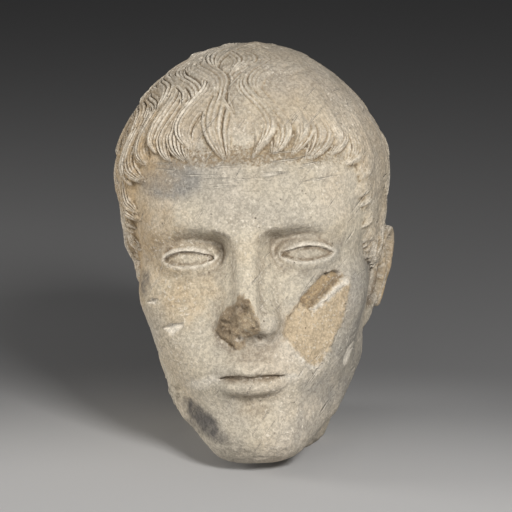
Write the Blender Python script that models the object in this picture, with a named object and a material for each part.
"""A carved limestone head with combed-forward hair, broken off at the neck. Metres, +Z up, face towards -Y.

The form is worked out in head units, where 0 is the chin and 1 is the crown, and is scaled to HEAD_HEIGHT at
the end. Every place and radius below that is not marked as metres is such a share of the head's height.
"""

import functools
import math

import bmesh
import bpy
import numpy as np
from mathutils import Matrix, Vector

# Driving dimensions
HEAD_HEIGHT = 0.290  # metres, chin to crown
CHIN_CLEARANCE = 0.006  # metres, from the ground to the lowest point of the chin
NOD_BACK = math.radians(8)  # the face leans back
ROLL = math.radians(-3.3)  # the crown leans to the figure's right

FINENESS = 7  # halvings of the triangles of the sphere that the surface is carried on
CROWDING = 0.62  # below 1, these triangles crowd towards the face
FACES = 10300  # triangles that are kept of them before the neck is cut
SHARP_ANGLE = math.radians(55)  # edges sharper than this stay sharp in shading

CHIN = (0.0, -0.325, -0.006)  # the lowest point of the chin

# The middle of the head, from which every point of the surface is reached
CENTRE = (0.0, 0.0, 0.50)

# Outlines as (reach from the upright axis, height): the median line of the face without nose and lips,
# the side of the head without ears, and the back
FACE_OUTLINE = [
    (0.000, 1.000),
    (0.150, 0.978),
    (0.270, 0.915),
    (0.345, 0.820),
    (0.384, 0.710),
    (0.398, 0.600),
    (0.388, 0.520),
    (0.380, 0.430),
    (0.392, 0.330),
    (0.402, 0.250),
    (0.395, 0.170),
    (0.388, 0.090),
    (0.345, 0.022),
    (0.240, 0.000),
    (0.110, -0.005),
    (0.000, -0.005),
]
SIDE_OUTLINE = [
    (0.000, 1.000),
    (0.110, 0.980),
    (0.205, 0.920),
    (0.290, 0.820),
    (0.330, 0.710),
    (0.322, 0.610),
    (0.299, 0.510),
    (0.282, 0.400),
    (0.264, 0.310),
    (0.235, 0.220),
    (0.185, 0.130),
    (0.130, 0.060),
    (0.060, 0.010),
    (0.000, -0.005),
]
BACK_OUTLINE = [
    (0.000, 1.000),
    (0.160, 0.980),
    (0.300, 0.910),
    (0.400, 0.790),
    (0.438, 0.660),
    (0.424, 0.530),
    (0.376, 0.410),
    (0.310, 0.300),
    (0.240, 0.180),
    (0.160, 0.080),
    (0.060, 0.010),
    (0.000, -0.005),
]
# How square the head is in plan, as (angle above the middle in degrees, exponent of the superellipse)
SQUARENESS = [(-90, 2.0), (-60, 1.9), (-45, 1.95), (-30, 2.15), (-10, 2.3), (20, 2.35), (50, 2.15), (90, 2.0)]


def smooth_curve(knots, values, at):
    """A smooth curve through the knots, as cubic pieces with averaged slopes."""
    knots = np.asarray(knots, float)
    values = np.asarray(values, float)
    at = np.clip(at, knots[0], knots[-1])
    slopes = np.gradient(values, knots)
    i = np.clip(np.searchsorted(knots, at) - 1, 0, len(knots) - 2)
    width = knots[i + 1] - knots[i]
    t = (at - knots[i]) / width
    return (
        values[i] * (1 + 2 * t) * (1 - t) ** 2
        + values[i + 1] * (3 - 2 * t) * t**2
        + width * (slopes[i] * t * (1 - t) ** 2 - slopes[i + 1] * (1 - t) * t**2)
    )


def outline_radius(outline, angle):
    """Distance from the middle of the head to an outline, at an angle above the middle."""
    reach, height = np.array(outline, float).T
    angles = np.arctan2(height - CENTRE[2], reach)[::-1]
    radii = np.hypot(height - CENTRE[2], reach)[::-1]
    return smooth_curve(angles, radii, angle)


def block_radius(direction):
    """The plain head: the three outlines, joined by a superellipse at every angle."""
    x, y, z = direction
    flat = np.maximum(np.hypot(x, y), 1e-9)
    angle = np.arctan2(z, flat)
    side = outline_radius(SIDE_OUTLINE, angle)
    along = np.where(y < 0, outline_radius(FACE_OUTLINE, angle), outline_radius(BACK_OUTLINE, angle))
    degrees, exponents = zip(*SQUARENESS)
    n = smooth_curve(np.radians(degrees), exponents, angle)
    across = (np.abs(x) / flat / side) ** n + (np.abs(y) / flat / along) ** n
    return across ** (-1 / n)


def ramp(value, start, end):
    """0 before start, 1 after end, and an easy slope between them."""
    t = np.clip((value - start) / (end - start), 0, 1)
    return t * t * (3 - 2 * t)


def noise(p, cell, seed):
    """Smooth random lumps between -1 and 1, about one cell across."""
    side = 24
    table = np.random.default_rng(seed).uniform(-1, 1, (side, side, side))
    corner, share = [], []
    for value in p:
        q = value / cell
        low = np.floor(q).astype(int)
        f = q - low
        corner.append((low % side, (low + 1) % side))
        share.append(f * f * (3 - 2 * f))
    total = 0
    for i in (0, 1):
        for j in (0, 1):
            for k in (0, 1):
                weight = 1
                for pick, f in zip((i, j, k), share):
                    weight = weight * (f if pick else 1 - f)
                total = total + weight * table[corner[0][i], corner[1][j], corner[2][k]]
    return total


def rough(p, cell, seed):
    """Noise in two sizes, for broken stone."""
    return noise(p, cell, seed) + 0.5 * noise(p, cell * 0.43, seed + 1)


# Signed distances: below zero inside the stone
def smooth_union(a, b, blend):
    near = np.maximum(blend - np.abs(a - b), 0) / blend
    return np.minimum(a, b) - near * near * blend / 4


def smooth_cut(a, b, blend):
    return -smooth_union(-a, b, blend)


def ellipsoid(p, centre, radii):
    q = [(p[i] - centre[i]) / radii[i] for i in range(3)]
    k0 = np.sqrt(q[0] ** 2 + q[1] ** 2 + q[2] ** 2)
    k1 = np.sqrt((q[0] / radii[0]) ** 2 + (q[1] / radii[1]) ** 2 + (q[2] / radii[2]) ** 2)
    return k0 * (k0 - 1) / np.maximum(k1, 1e-6)


def chain(p, *stations):
    """A rounded rod through stations of (x, y, z, radius)."""
    nearest = None
    for a, b in zip(stations, stations[1:]):
        along = [b[i] - a[i] for i in range(3)]
        length = sum(c * c for c in along)
        t = np.clip(sum((p[i] - a[i]) * along[i] for i in range(3)) / length, 0, 1)
        gap = np.sqrt(sum((p[i] - a[i] - t * along[i]) ** 2 for i in range(3)))
        distance = gap - (a[3] + t * (b[3] - a[3]))
        nearest = distance if nearest is None else np.minimum(nearest, distance)
    return nearest


def turned(p, centre, yaw):
    """Coordinates about a centre, turned about the upright axis."""
    x, y = p[0] - centre[0], p[1] - centre[1]
    c, s = math.cos(yaw), math.sin(yaw)
    return (c * x + s * y, c * y - s * x, p[2] - centre[2])


EYE = (0.133, -0.296, 0.497)
EYE_RADII = (0.076, 0.058, 0.052)
EYE_YAW = math.radians(14)
LID = 0.011  # thickness of the lids over the ball
OPENING = (0.064, 0.021, -0.016)  # half width, rise of the upper lid, drop of the lower


def brow_and_sockets(p, d):
    brow = chain(p, (0.025, -0.378, 0.548, 0.022), (0.085, -0.370, 0.576, 0.020),
                 (0.150, -0.343, 0.582, 0.018), (0.210, -0.296, 0.564, 0.014), (0.240, -0.245, 0.535, 0.010))
    d = smooth_union(d, brow, 0.045)
    socket = ellipsoid(p, (0.128, -0.405, 0.508), (0.098, 0.078, 0.052))
    d = smooth_cut(d, socket, 0.030)
    inner = ellipsoid(p, (0.066, -0.385, 0.515), (0.024, 0.045, 0.030))
    return smooth_cut(d, inner, 0.028)


def eyes(p, d):
    q = turned(p, EYE, EYE_YAW)
    ball = ellipsoid(q, (0, 0, 0), EYE_RADII)
    half, rise, drop = OPENING
    arch = np.maximum(1 - (q[0] / half) ** 2, 0) ** 0.75
    opening = np.maximum(np.maximum(q[2] - rise * arch, drop * arch - q[2]), np.abs(q[0]) - half)
    lids = smooth_cut(ball - LID, opening, 0.005)
    d = smooth_union(d, lids, 0.012)
    return smooth_union(d, ball, 0.004)


def nose(p, d):
    body = chain(p, (0, -0.335, 0.520, 0.050), (0, -0.362, 0.440, 0.056), (0, -0.385, 0.355, 0.066))
    d = smooth_union(d, body, 0.030)
    ridge = chain(p, (0, -0.385, 0.570, 0.022), (0, -0.402, 0.510, 0.022), (0, -0.452, 0.400, 0.024),
                  (0, -0.470, 0.352, 0.033))
    d = smooth_union(d, ridge, 0.030)
    wing = ellipsoid(p, (0.041, -0.424, 0.341), (0.029, 0.042, 0.029))
    d = smooth_union(d, wing, 0.026)
    nostril = ellipsoid(p, (0.026, -0.440, 0.308), (0.012, 0.022, 0.013))
    return smooth_cut(d, nostril, 0.010)


def mouth(p, d):
    barrel = ellipsoid(p, (0, -0.325, 0.235), (0.135, 0.098, 0.105))
    d = smooth_union(d, barrel, 0.060)
    upper = chain(p, (0.104, -0.374, 0.213, 0.006), (0.062, -0.408, 0.229, 0.018),
                  (0.022, -0.429, 0.236, 0.020), (0, -0.430, 0.231, 0.019))
    d = smooth_union(d, upper, 0.012)
    # the lips overlap so far that no ray from the middle of the head grazes the lower one
    lower = chain(p, (0.090, -0.379, 0.208, 0.008), (0.048, -0.410, 0.199, 0.021),
                  (0, -0.423, 0.196, 0.026))
    d = smooth_union(d, lower, 0.008)
    philtrum = chain(p, (0, -0.446, 0.296, 0.012), (0, -0.452, 0.252, 0.013))
    d = smooth_cut(d, philtrum, 0.014)
    under = ellipsoid(p, (0, -0.448, 0.146), (0.070, 0.040, 0.018))
    return smooth_cut(d, under, 0.030)


def cheeks_and_chin(p, d):
    cheekbone = ellipsoid(p, (0.180, -0.220, 0.405), (0.090, 0.088, 0.080))
    d = smooth_union(d, cheekbone, 0.080)
    cheek = ellipsoid(p, (0.130, -0.230, 0.290), (0.090, 0.120, 0.110))
    d = smooth_union(d, cheek, 0.080)
    chin = ellipsoid(p, (0, -0.322, 0.074), (0.092, 0.084, 0.068))
    d = smooth_union(d, chin, 0.060)
    jaw = chain(p, (0.195, -0.040, 0.225, 0.045), (0.150, -0.190, 0.125, 0.045),
                (0.07, -0.300, 0.065, 0.045))
    return smooth_union(d, jaw, 0.070)


def neck(p, d):
    """What is left of the neck: it narrows to the break that the head stands on."""
    whole = ramp(p[2], -0.06, 0.18)
    across = p[0] / (0.135 + 0.070 * whole)
    along = (p[1] - 0.030 - 0.025 * whole) / (0.195 + 0.050 * whole)
    column = (np.sqrt(across**2 + along**2) - 1) * 0.18
    column = np.maximum(column, np.abs(p[2] + 0.10) - 0.40)
    column = column + 0.010 * (1 - whole) * noise(p, 0.055, 5) + 0.004 * (1 - whole) * noise(p, 0.020, 6)
    return smooth_union(d, column, 0.050)


def jaw_remnant(p, d):
    """A rough knob of the broken neck that shows behind the figure's right jaw."""
    knob = ellipsoid(p, (-0.190, 0.000, 0.150), (0.050, 0.078, 0.055)) + 0.014 * noise(p, 0.030, 8)
    return smooth_union(d, knob, 0.012)


EAR = (0.293, 0.030, 0.405)
EAR_SIZE = 0.80
EAR_STRETCH = 1.25  # how much longer it is made than its width asks
EAR_FLARE = math.radians(20)  # the rear edge stands away from the skull
EAR_LEAN = math.radians(10)  # the top leans back
EAR_TILT = math.radians(12)  # the lobe lies closer to the head than the top
WORN_TOP = 0.495  # above this height the figure's right ear is lost


def ear_frame(p):
    """Coordinates in the ear: backwards, upwards and out of it."""
    x, y, z = (p[i] - EAR[i] for i in range(3))
    x = x - z * math.tan(EAR_TILT)
    back = x * math.sin(EAR_FLARE) + y * math.cos(EAR_FLARE)
    out = x * math.cos(EAR_FLARE) - y * math.sin(EAR_FLARE)
    c, s = math.cos(EAR_LEAN), math.sin(EAR_LEAN)
    up = (z * c + back * s) / EAR_STRETCH
    return [v / EAR_SIZE for v in (back * c - z * s, up, out)]


def ear(q):
    """Rim, inner fold, bowl, flap and lobe on a thin plate."""
    d = ellipsoid(q, (0.010, 0.010, -0.012), (0.060, 0.110, 0.028))
    rim = []
    for i in range(15):
        turn = math.radians(205 - i * 17.5)
        wide = 0.062 if math.sin(turn) > 0 else 0.050
        rim.append((0.010 + wide * math.cos(turn), 0.012 + 0.108 * math.sin(turn), 0.012, 0.013))
    d = smooth_union(d, chain(q, *rim), 0.012)
    inner = chain(q, (0.008, 0.066, 0.010, 0.010), (0.036, 0.020, 0.014, 0.012),
                  (0.026, -0.045, 0.010, 0.011), (-0.002, -0.062, 0.008, 0.010))
    d = smooth_union(d, inner, 0.012)
    bowl = ellipsoid(q, (-0.004, -0.012, 0.020), (0.026, 0.046, 0.034))
    d = smooth_cut(d, bowl, 0.010)
    flap = ellipsoid(q, (-0.042, -0.018, 0.008), (0.014, 0.024, 0.014))
    d = smooth_union(d, flap, 0.012)
    lobe = ellipsoid(q, (-0.006, -0.088, 0.000), (0.030, 0.034, 0.016))
    return smooth_union(d, lobe, 0.024)


def ears(p, mirrored, d):
    """The figure's right ear has lost its top, and what is left of it is rubbed flat."""
    q = ear_frame(mirrored)
    whole = ear(q) * EAR_SIZE
    lost = np.minimum(WORN_TOP - p[2], 0.004 - q[2])
    worn = smooth_cut(whole + 0.003, lost, 0.020)
    return smooth_union(d, np.where(p[0] > 0, whole, worn), 0.014)


# Hair, drawn on a chart of the scalp: rows run out from the whorl, columns run round it
HAIR_BODY = 0.011  # thickness of the plain cap of hair
LOCK_RISE = 0.013  # how far a full lock stands above it
WHORL_ANGLE = math.radians(60)  # above the horizon, at the back of the head
CHART_STEP = 0.006  # radians between rows, and between columns
CHART_REACH = 2.5  # radians from the whorl to the last row
ARC = 0.46  # mean radius of the scalp, which turns chart angles into lengths
# The edge of the hair in the side view, as (distance behind the middle, height)
HAIRLINE = [(-0.42, 0.735), (-0.34, 0.733), (-0.295, 0.715), (-0.260, 0.670), (-0.235, 0.590),
            (-0.205, 0.520), (-0.12, 0.460), (0.00, 0.430), (0.10, 0.340), (0.20, 0.200), (0.30, 0.140),
            (0.45, 0.120)]

TIERS = 8  # of locks, counted up from the edge of the hair
TIER_STEP = 0.25  # radians between tiers, which is half a wave
LOCK_LENGTH = 0.36  # radians, so the tiers overlap
LOCK_WIDTH = 0.060
ROW_SHIFT = 0.06  # radians by which the upper row of a tier stands back and aside
WAVE_SWING = 0.030  # how far the waves swing to each side
TILE = 0.60  # how much higher one side of a lock is than the other
TEMPLE = (0.66, 1.28, 0.09)  # first, last and step of the extra locks there, as angles round the whorl
TEMPLE_LENGTH = 0.30  # radians
TEMPLE_HOOK = 0.030  # how far the tips of these locks turn forwards
PARTING = -0.10  # angle round the whorl at which the locks of the fringe turn towards each other
PARTING_EDGE = 25  # how suddenly they do


def chart_of(direction):
    """(angle from the whorl, angle round it) of a direction; the second is 0 at the forehead."""
    x, y, z = direction
    c, s = math.cos(WHORL_ANGLE), math.sin(WHORL_ANGLE)
    up, forward = y * c + z * s, z * c - y * s
    return np.arccos(np.clip(up, -1, 1)), np.arctan2(x, forward)


def direction_of(away, around):
    c, s = math.cos(WHORL_ANGLE), math.sin(WHORL_ANGLE)
    up, flat = np.cos(away), np.sin(away)
    forward = flat * np.cos(around)
    return (flat * np.sin(around), up * c - forward * s, up * s + forward * c)


def height_over_hairline(direction):
    radius = block_radius(direction)
    behind, height = zip(*HAIRLINE)
    edge = smooth_curve(behind, height, CENTRE[1] + direction[1] * radius)
    return CENTRE[2] + direction[2] * radius - edge


def inwards(around):
    """Which way the middle of the forehead lies, between -1 and 1."""
    return -np.tanh(PARTING_EDGE * (around - PARTING)) * ramp(3.1 - np.abs(around), 0, 0.5)


def wave(to_edge, around, late):
    """Sideways swing of a lock: each tier bows once, and the fringe bows outwards and sweeps back in."""
    return -WAVE_SWING * inwards(around) * np.sin(math.pi * to_edge / TIER_STEP + late)


def wear(away, around, to_edge):
    """0 where the carving is crisp and 1 where it is faint, as on the left side, the back and the crown."""
    left = 0.76 * ramp(around, -0.15, 0.32) * ramp(to_edge, 0.05, 0.22) * ramp(1.40 - around, 0, 0.35)
    left = np.maximum(left, 0.55 * ramp(around, 0.50, 0.75) * ramp(1.20 - around, 0, 0.20))
    left = np.maximum(left, 0.65 * ramp(np.abs(around), 1.7, 2.2))
    crown = 0.35 * ramp(0.95 - away, 0, 0.35)
    return np.clip(left + crown * (1 - left), 0, 1)


def lock_list(edge_at):
    """Every lock, as (first row, last row, place round the whorl, width, rise, how late it swings, lean).

    Each tier has an under row and an upper row between its locks, and extra locks cover the temples.
    """
    rng = np.random.default_rng(7)
    locks = []
    for tier in range(TIERS):
        for row in (0, 1):
            around = -math.pi + row * ROW_SHIFT
            while around < math.pi:
                end = edge_at(around) - tier * TIER_STEP - row * ROW_SHIFT + rng.uniform(-0.03, 0.045)
                start = end - LOCK_LENGTH * rng.uniform(0.85, 1.15)
                width = LOCK_WIDTH * rng.uniform(0.65, 1.25)
                rise = LOCK_RISE * (0.75 + 0.45 * row) * rng.uniform(0.7, 1.15) * (1 if tier == 0 else 0.75)
                late, lean = rng.uniform(-0.5, 0.5), rng.uniform(-0.014, 0.014)
                if end > 0.30:
                    locks.append((start, end, around, width * 1.25, rise, late, lean))
                around += width * (1 + 0.9 * row) / (ARC * max(0.3, math.sin(max(end - 0.1, 0.3))))
    for side in (-1, 1):
        for around in side * np.arange(*TEMPLE):
            around += rng.uniform(-0.03, 0.03)
            end = edge_at(around) + rng.uniform(-0.07, 0.03)
            width = LOCK_WIDTH * rng.uniform(0.7, 1.3)
            late, lean = rng.uniform(-0.5, 0.5), -side * TEMPLE_HOOK * rng.uniform(0.2, 1.3)
            rise = LOCK_RISE * rng.uniform(0.6, 1)
            locks.append((end - TEMPLE_LENGTH, end, around, width, rise, late, lean))
    return locks


@functools.cache
def comb():
    """The chart of the hair: how thick it stands on the scalp at every row and column."""
    rows = np.arange(0, CHART_REACH, CHART_STEP)
    columns = np.linspace(-math.pi, math.pi, round(2 * math.pi / CHART_STEP) + 1)
    away, around = np.meshgrid(rows, columns, indexing="ij")
    above = height_over_hairline(direction_of(away, around))
    cover = ramp(above, 0.022, 0.075)
    chart = HAIR_BODY * cover
    envelope = chart.copy()
    edges = rows[np.argmax(above < 0, axis=0)]
    locks = lock_list(lambda angle: np.interp(angle, columns, edges))
    worn = wear(away, around, edges[None, :] - away)
    for start, end, place, width, rise, late, lean in locks:
        low, high = np.searchsorted(rows, (max(start, 0.05), end))
        if high - low < 3:
            continue
        s = rows[low:high]
        t = (s - start) / (end - start)
        stretch = ARC * np.maximum(np.sin(s), 0.15)
        swing = wave(np.interp(place, columns, edges) - s, place, late) + lean * t**2
        centre = place + swing / stretch
        half = width / 2 * np.minimum(1, 0.55 + 1.4 * t) * np.sqrt(np.clip((1 - t) / 0.5, 0, 1))
        reach = (1.3 * width + np.abs(swing).max()) / stretch.min()
        near = np.where(np.abs((columns - place + math.pi) % (2 * math.pi) - math.pi) < reach)[0]
        gap = (columns[near][None, :] - centre[:, None] + math.pi) % (2 * math.pi) - math.pi
        across = gap * stretch[:, None] / np.maximum(half, 1e-4)[:, None]
        dome = np.clip(1 - across**2, 0, 1) ** 0.6
        swell = (0.45 + 0.55 * np.clip(t * 1.6, 0, 1)) * np.clip((1 - t) / 0.12, 0, 1) ** 0.5
        tilt = 1 + TILE * np.clip(across, -1, 1) * math.copysign(1, place)
        block = np.ix_(np.arange(low, high), near)
        relief = rise * dome * tilt * swell[:, None]
        body = HAIR_BODY * np.clip(cover[block] + 0.35, 0, 1)
        whole = (body + relief) * np.minimum(1, dome * 3)
        rubbed = (body + relief * (1 - 0.75 * worn[block])) * np.minimum(1, dome * 3)
        on_top = whole > envelope[block]
        chart[block] = np.where(on_top, rubbed, chart[block])
        envelope[block] = np.maximum(envelope[block], whole)
    return chart


def hair_depth(direction):
    """Thickness of the hair, read from the chart between its rows and columns."""
    chart = comb()
    away, around = chart_of(direction)
    i = np.clip(away / CHART_STEP, 0, chart.shape[0] - 1.001)
    j = np.clip((around + math.pi) / (2 * math.pi) * (chart.shape[1] - 1), 0, chart.shape[1] - 1.001)
    low_i, low_j = i.astype(int), j.astype(int)
    u, v = i - low_i, j - low_j
    near_row = chart[low_i, low_j] * (1 - v) + chart[low_i, low_j + 1] * v
    far_row = chart[low_i + 1, low_j] * (1 - v) + chart[low_i + 1, low_j + 1] * v
    return near_row * (1 - u) + far_row * u


# Damage: outlines as (across, height), seen from the front
FLAKE = [(0.170, 0.440), (0.206, 0.457), (0.228, 0.440), (0.241, 0.428), (0.240, 0.393), (0.222, 0.331),
         (0.196, 0.282), (0.179, 0.251), (0.168, 0.221), (0.138, 0.223), (0.100, 0.273), (0.075, 0.317),
         (0.087, 0.352), (0.114, 0.385)]
FLAKE_DEPTH = 0.010
SCOOP_DEPTH = 0.009  # how much deeper the part above the crest is
CREST_HIGH = (0.243, 0.452)  # a crest crosses the flake between these two ends
CREST_LOW = (0.143, 0.364)
CREST_WIDTH = 0.015
CREST_RISE = 0.006
CHIPS = [
    [(-0.257, 0.391), (-0.243, 0.406), (-0.222, 0.403), (-0.233, 0.387)],
    [(-0.221, 0.331), (-0.197, 0.345), (-0.161, 0.349), (-0.160, 0.335), (-0.190, 0.311)],
    [(0.247, 0.277), (0.228, 0.262), (0.214, 0.236), (0.211, 0.209), (0.223, 0.213), (0.238, 0.245)],
]
CHIP_DEPTH = 0.0090

BREAK_RIDGE = Vector((0.000, -0.472, 0.380))  # the broken nose runs through three points: on its ridge,
BREAK_WING = Vector((-0.070, -0.404, 0.330))  # beside the wing of the figure's right
BREAK_BASE = Vector((0.026, -0.470, 0.312))  # and under the tip
BREAK_FACING = (BREAK_WING - BREAK_RIDGE).cross(BREAK_BASE - BREAK_RIDGE).normalized()
BREAK_REACH = ((-0.030, -0.465, 0.350), (0.080, 0.110, 0.075))  # an ellipsoid: centre and radii


def inside_outline(x, z, outline):
    """Distance inside a closed outline, below zero outside it."""
    nearest = np.full(x.shape, 9.0)
    inside = np.zeros(x.shape, bool)
    for (x0, z0), (x1, z1) in zip(outline, outline[1:] + outline[:1]):
        dx, dz = x1 - x0, z1 - z0
        t = np.clip(((x - x0) * dx + (z - z0) * dz) / (dx * dx + dz * dz), 0, 1)
        nearest = np.minimum(nearest, np.hypot(x - x0 - t * dx, z - z0 - t * dz))
        crosses = ((z0 > z) != (z1 > z)) & (x < dx * (z - z0) / (dz or 1e-9) + x0)
        inside ^= crosses
    return np.where(inside, nearest, -nearest)


def missing_nose(p):
    """The tip of the nose and the wing on the figure's right, beyond a slanting, uneven break."""
    reach = ellipsoid(p, *BREAK_REACH)
    beyond = sum((p[i] - BREAK_RIDGE[i]) * BREAK_FACING[i] for i in range(3))
    return np.maximum(reach, -beyond - 0.0070 * rough(p, 0.026, 3))


def sunk(p):
    """How far the lost flake of the cheek and the chips sink the surface."""
    x, y, z = p
    within = np.where(y < -0.10, inside_outline(x, z, FLAKE), -1)
    run, rise = CREST_HIGH[0] - CREST_LOW[0], CREST_HIGH[1] - CREST_LOW[1]
    length = math.hypot(run, rise)
    along = ((x - CREST_LOW[0]) * run + (z - CREST_LOW[1]) * rise) / length**2
    above = ((z - CREST_LOW[1]) * run - (x - CREST_LOW[0]) * rise) / length
    wide = CREST_WIDTH * (0.45 + 0.55 * np.clip(along, 0, 1)) * ramp(along, -0.10, 0.10)
    crest = ramp(wide - np.abs(above + wide), 0, 0.007)
    above = np.minimum(above, (along + 0.03) * length)
    scoop = ramp(above, -0.002, 0.010)
    depth = FLAKE_DEPTH + SCOOP_DEPTH * scoop - CREST_RISE * crest
    depth = depth * ramp(within, -0.001, 0.004 + 0.010 * (1 - scoop))
    chip = np.max([inside_outline(x, z, outline) for outline in CHIPS], axis=0)
    chip = np.where(y < -0.14, chip, -1)
    return np.maximum(depth, CHIP_DEPTH * ramp(chip, 0, 0.007))


def shell_radius(direction):
    """The plain head with its hair, before any feature is added."""
    return block_radius(direction) + hair_depth(direction)


def stone(p, radius, shell):
    """Signed distance to the head, for points at a radius from the middle, over the plain shell there."""
    mirrored = (np.abs(p[0]), p[1], p[2])
    d = cheeks_and_chin(mirrored, radius - shell)
    d = neck(p, d)
    d = brow_and_sockets(mirrored, d)
    d = nose(mirrored, d)
    d = eyes(mirrored, d)
    d = mouth(mirrored, d)
    d = ears(p, mirrored, d)
    d = jaw_remnant(p, d)
    return smooth_cut(d, missing_nose(p), 0.003)


def crowd_forward(directions, crowding):
    """Moves directions towards the face without stretching the triangles between them."""
    axis = np.array((0, -1, 0.1))
    axis /= np.linalg.norm(axis)
    along = directions @ axis
    across = directions - along[:, None] * axis
    t = crowding**2 * (1 - along) / np.maximum(1 + along, 1e-9)
    new = (1 - t) / (1 + t)
    scale = np.sqrt((1 - new**2) / np.maximum(1 - along**2, 1e-12))
    return new[:, None] * axis + across * scale[:, None]


def trace(directions, start=1.10, stride=0.75, steps=90, near_enough=1e-4):
    """Points where rays from outside towards the middle meet the stone."""
    origin = np.array(CENTRE)[:, None]
    rays = directions.T
    shell = shell_radius(rays)
    t = np.full(rays.shape[1], start)
    todo = np.arange(len(t))
    for _ in range(steps):
        d = stone(origin + rays[:, todo] * t[todo], t[todo], shell[todo])
        t[todo] -= stride * d
        todo = todo[np.abs(d) > near_enough]
        if not len(todo):
            break
    t = t - sunk(origin + rays * t)
    return (origin + rays * t).T


def clear_scene():
    for obj in list(bpy.data.objects):
        bpy.data.objects.remove(obj)


def limestone():
    """Warm grey-beige limestone with a worn, matt surface."""
    material = bpy.data.materials.new("limestone")
    material.use_nodes = True
    shader = material.node_tree.nodes["Principled BSDF"]
    shader.inputs["Base Color"].default_value = (0.50, 0.45, 0.35, 1)
    shader.inputs["Roughness"].default_value = 0.88
    shader.inputs["Metallic"].default_value = 0.0
    return material


def carve(subdivisions):
    """The fine mesh of the head, in head units, upright and whole below the neck's break."""
    shape = bmesh.new()
    bmesh.ops.create_icosphere(shape, subdivisions=subdivisions, radius=1)
    mesh = bpy.data.meshes.new("head")
    shape.to_mesh(mesh)
    shape.free()
    directions = np.empty(len(mesh.vertices) * 3)
    mesh.vertices.foreach_get("co", directions)
    points = trace(crowd_forward(directions.reshape(-1, 3), CROWDING))
    mesh.vertices.foreach_set("co", points.ravel())
    return mesh


def place(mesh):
    """Scales the head, leans it, and sets its chin at its clearance above the ground."""
    pose = Matrix.Rotation(ROLL, 4, "Y") @ Matrix.Rotation(-NOD_BACK, 4, "X")
    to_metres = Matrix.Scale(HEAD_HEIGHT, 4) @ pose
    lift = CHIN_CLEARANCE - (to_metres @ Vector(CHIN)).z
    mesh.transform(Matrix.Translation((0, 0, lift)) @ to_metres)


def thin_out(head, faces):
    """Melts the fine mesh down to about this many faces, which stay where the carving is."""
    decimate = head.modifiers.new("fewer faces", "DECIMATE")
    decimate.ratio = faces / len(head.data.polygons)
    fine = head.data
    head.data = bpy.data.meshes.new_from_object(head.evaluated_get(bpy.context.evaluated_depsgraph_get()))
    head.modifiers.remove(decimate)
    bpy.data.meshes.remove(fine)


def cut_flat(mesh):
    """Cuts the neck off flat at the ground and closes it."""
    shape = bmesh.new()
    shape.from_mesh(mesh)
    parts = shape.verts[:] + shape.edges[:] + shape.faces[:]
    cut = bmesh.ops.bisect_plane(shape, geom=parts, plane_co=(0, 0, 0), plane_no=(0, 0, 1), clear_inner=True)
    rim = [e for e in cut["geom_cut"] if isinstance(e, bmesh.types.BMEdge)]
    bmesh.ops.contextual_create(shape, geom=rim)
    bmesh.ops.recalc_face_normals(shape, faces=shape.faces)
    shape.to_mesh(mesh)
    shape.free()


def build_head():
    mesh = carve(FINENESS)
    place(mesh)
    head = bpy.data.objects.new("head", mesh)
    bpy.context.scene.collection.objects.link(head)
    thin_out(head, FACES)
    cut_flat(head.data)
    head.data.name = "head"
    head.data.materials.append(limestone())
    head.data.shade_smooth()
    head.data.set_sharp_from_angle(angle=SHARP_ANGLE)
    return head


def main():
    clear_scene()
    build_head()


if __name__ == "__main__":
    main()
